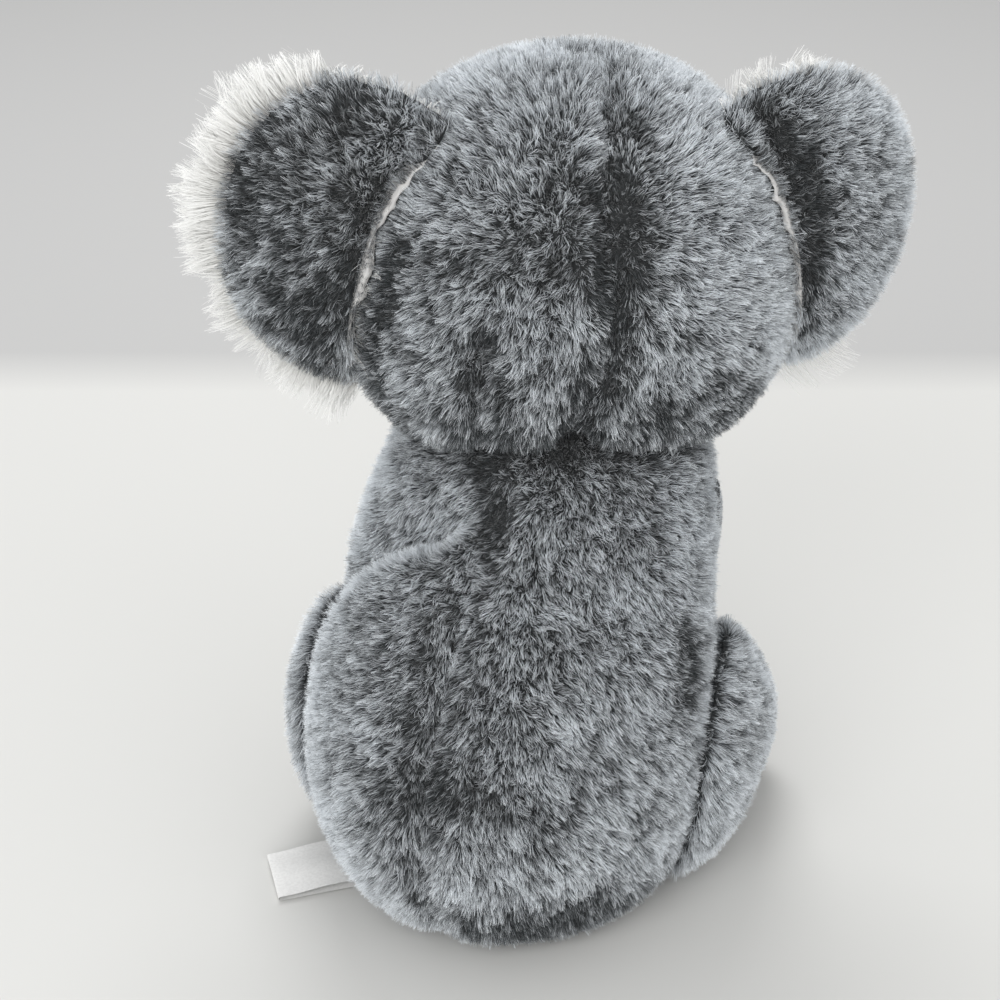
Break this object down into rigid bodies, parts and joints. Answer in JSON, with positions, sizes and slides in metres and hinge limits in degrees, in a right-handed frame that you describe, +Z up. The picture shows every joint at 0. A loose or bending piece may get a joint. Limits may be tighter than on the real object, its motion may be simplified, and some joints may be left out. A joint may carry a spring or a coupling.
{
  "type": "plush koala",
  "caption": "Sitting plush koala in frosted grey pile with round white-fringed ears, stuffed limbs, a big soft nose and a blank folded label at the seat.",
  "frame": {"origin": "on the table, under the middle of the seat", "axes": "+Z up, the body faces -Y, +X towards the koala's own left; at rest the head is turned 35 degrees to that side"},
  "size_m": [0.1923, 0.1778, 0.28],
  "materials": {
    "grey_pile": "long frosted pile, dark roots and silver tips",
    "white_pile": "long soft white pile",
    "pale_plush": "short pale grey pile",
    "dark_suede": "matt, fine suede cloth",
    "dark_plastic": "polished",
    "washer_plastic": "as moulded",
    "filling": "loose polyester fibre",
    "pellet_cloth": "plain woven cloth",
    "satin": "satin, slightly glossy"
  },
  "bodies": {
    "torso": {"body_skin": "grey_pile", "tummy_panel": "pale_plush", "body_stuffing": "filling", "pellet_bag": "pellet_cloth", "care_label": "satin"},
    "head": {"head_skin": "grey_pile", "head_stuffing": "filling", "muzzle": "pale_plush", "nose": "dark_suede", "eye_left": "dark_plastic", "eye_right": "dark_plastic", "eye_washer_left": "washer_plastic", "eye_washer_right": "washer_plastic"},
    "ear_left": {"ear_front_left": "white_pile", "ear_back_left": "grey_pile"},
    "ear_right": {"ear_front_right": "white_pile", "ear_back_right": "grey_pile"},
    "arm_left": {"arm_left": "grey_pile"},
    "arm_right": {"arm_right": "grey_pile"},
    "leg_left": {"leg_left": "grey_pile", "sole_pad_left": "dark_suede"},
    "leg_right": {"leg_right": "grey_pile", "sole_pad_right": "dark_suede"}
  },
  "joints": [
    {"name": "head_turn", "type": "hinge", "parent": "torso", "child": "head", "pos_m": [0, -0.03, 0.144], "axis": [0, 0, 1], "range_deg": [-50, 5], "stiffness_Nm_per_rad": 0.06},
    {"name": "ear_left_bend", "type": "hinge", "parent": "head", "child": "ear_left", "pos_m": [0.03404, 0.01684, 0.22687], "axis": [-0.2254, -0.0509, 0.9729], "range_deg": [-8, 8], "stiffness_Nm_per_rad": 0.03},
    {"name": "ear_right_bend", "type": "hinge", "parent": "head", "child": "ear_right", "pos_m": [-0.06273, -0.05093, 0.22481], "axis": [0.097, 0.1749, 0.9798], "range_deg": [-8, 8], "stiffness_Nm_per_rad": 0.03},
    {"name": "arm_left_lift", "type": "hinge", "parent": "torso", "child": "arm_left", "pos_m": [0.0365, -0.038, 0.134], "axis": [-1, 0, 0], "range_deg": [0, 25], "stiffness_Nm_per_rad": 0.02},
    {"name": "arm_right_lift", "type": "hinge", "parent": "torso", "child": "arm_right", "pos_m": [-0.0365, -0.038, 0.134], "axis": [-1, 0, 0], "range_deg": [0, 25], "stiffness_Nm_per_rad": 0.02},
    {"name": "leg_left_lift", "type": "hinge", "parent": "torso", "child": "leg_left", "pos_m": [0.056, 0.012, 0.048], "axis": [-1, 0, 0], "range_deg": [0, 14], "stiffness_Nm_per_rad": 0.08},
    {"name": "leg_right_lift", "type": "hinge", "parent": "torso", "child": "leg_right", "pos_m": [-0.055, -0.017, 0.048], "axis": [-1, 0, 0], "range_deg": [0, 14], "stiffness_Nm_per_rad": 0.08}
  ]
}
